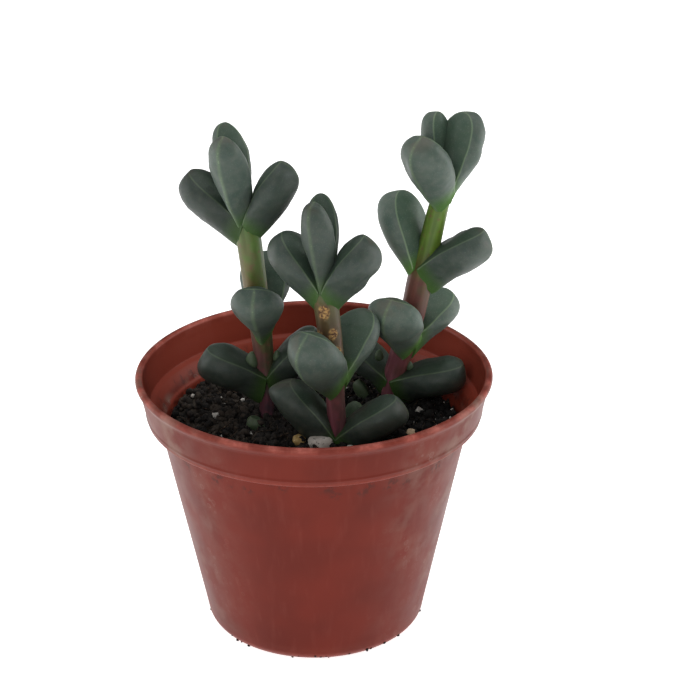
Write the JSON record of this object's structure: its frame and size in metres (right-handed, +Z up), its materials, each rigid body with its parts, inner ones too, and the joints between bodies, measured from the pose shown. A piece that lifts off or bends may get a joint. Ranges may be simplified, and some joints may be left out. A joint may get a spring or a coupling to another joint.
{
  "type": "potted succulent plant",
  "caption": "Small succulent with upright stems and opposite pairs of fleshy three-sided leaves, in soil in a round tapered plastic pot.",
  "frame": {"origin": "middle of the pot's flat underside, on the surface that the pot stands on", "axes": "+Z up along the pot's axis, +X to the right and -Y towards a viewer at the front"},
  "size_m": [0.085, 0.085, 0.1254],
  "materials": {
    "pot": "satin moulded terracotta-coloured plastic",
    "soil": "damp dark peat with fibres and crumbs",
    "stem_left": "fleshy stem, purple-brown below and olive above",
    "stem_middle": "fleshy stem, purple-red below and tan with dry scars above",
    "stem_right": "fleshy stem, purple-brown below and yellow-green above",
    "leaf": "waxy grey-green leaf skin with pale edges",
    "young_leaf": "waxy green young leaf skin",
    "pebble_yellow": "smooth yellow pebble",
    "pebble_white": "speckled pale pebble",
    "pebble_beige": "beige pebble",
    "perlite": "rough white perlite"
  },
  "bodies": {
    "root": {"pot": "pot", "soil": "soil", "stem_left": "stem_left", "stem_middle": "stem_middle", "stem_right": "stem_right", "leaf_left_1_left": "leaf", "leaf_left_1_right": "leaf", "leaf_left_2_front": "leaf", "leaf_left_2_back": "leaf", "leaf_left_3_left": "leaf", "leaf_left_3_right": "leaf", "leaf_left_4_front": "leaf", "leaf_left_4_back": "leaf", "leaf_middle_1_left": "leaf", "leaf_middle_1_right": "leaf", "leaf_middle_2_front": "leaf", "leaf_middle_2_back": "leaf", "leaf_middle_3_left": "leaf", "leaf_middle_3_right": "leaf", "leaf_middle_4_front": "leaf", "leaf_middle_4_back": "leaf", "leaf_right_1_left": "leaf", "leaf_right_1_right": "leaf", "leaf_right_2_front": "leaf", "leaf_right_2_back": "leaf", "leaf_right_3_left": "leaf", "leaf_right_3_right": "leaf", "leaf_right_4_front": "leaf", "leaf_right_4_back": "leaf", "leaf_right_5_left": "leaf", "left_bud_left": "young_leaf", "left_bud_right": "young_leaf", "right_bud_left": "young_leaf", "right_bud_right": "young_leaf", "soil_leaf_left": "young_leaf", "soil_leaf_middle": "young_leaf", "soil_leaf_right": "young_leaf", "pebble_yellow": "pebble_yellow", "pebble_white": "pebble_white", "pebble_beige": "pebble_beige", "perlite_1": "perlite", "perlite_2": "perlite", "perlite_3": "perlite", "perlite_4": "perlite", "perlite_5": "perlite", "perlite_6": "perlite"}
  },
  "joints": []
}
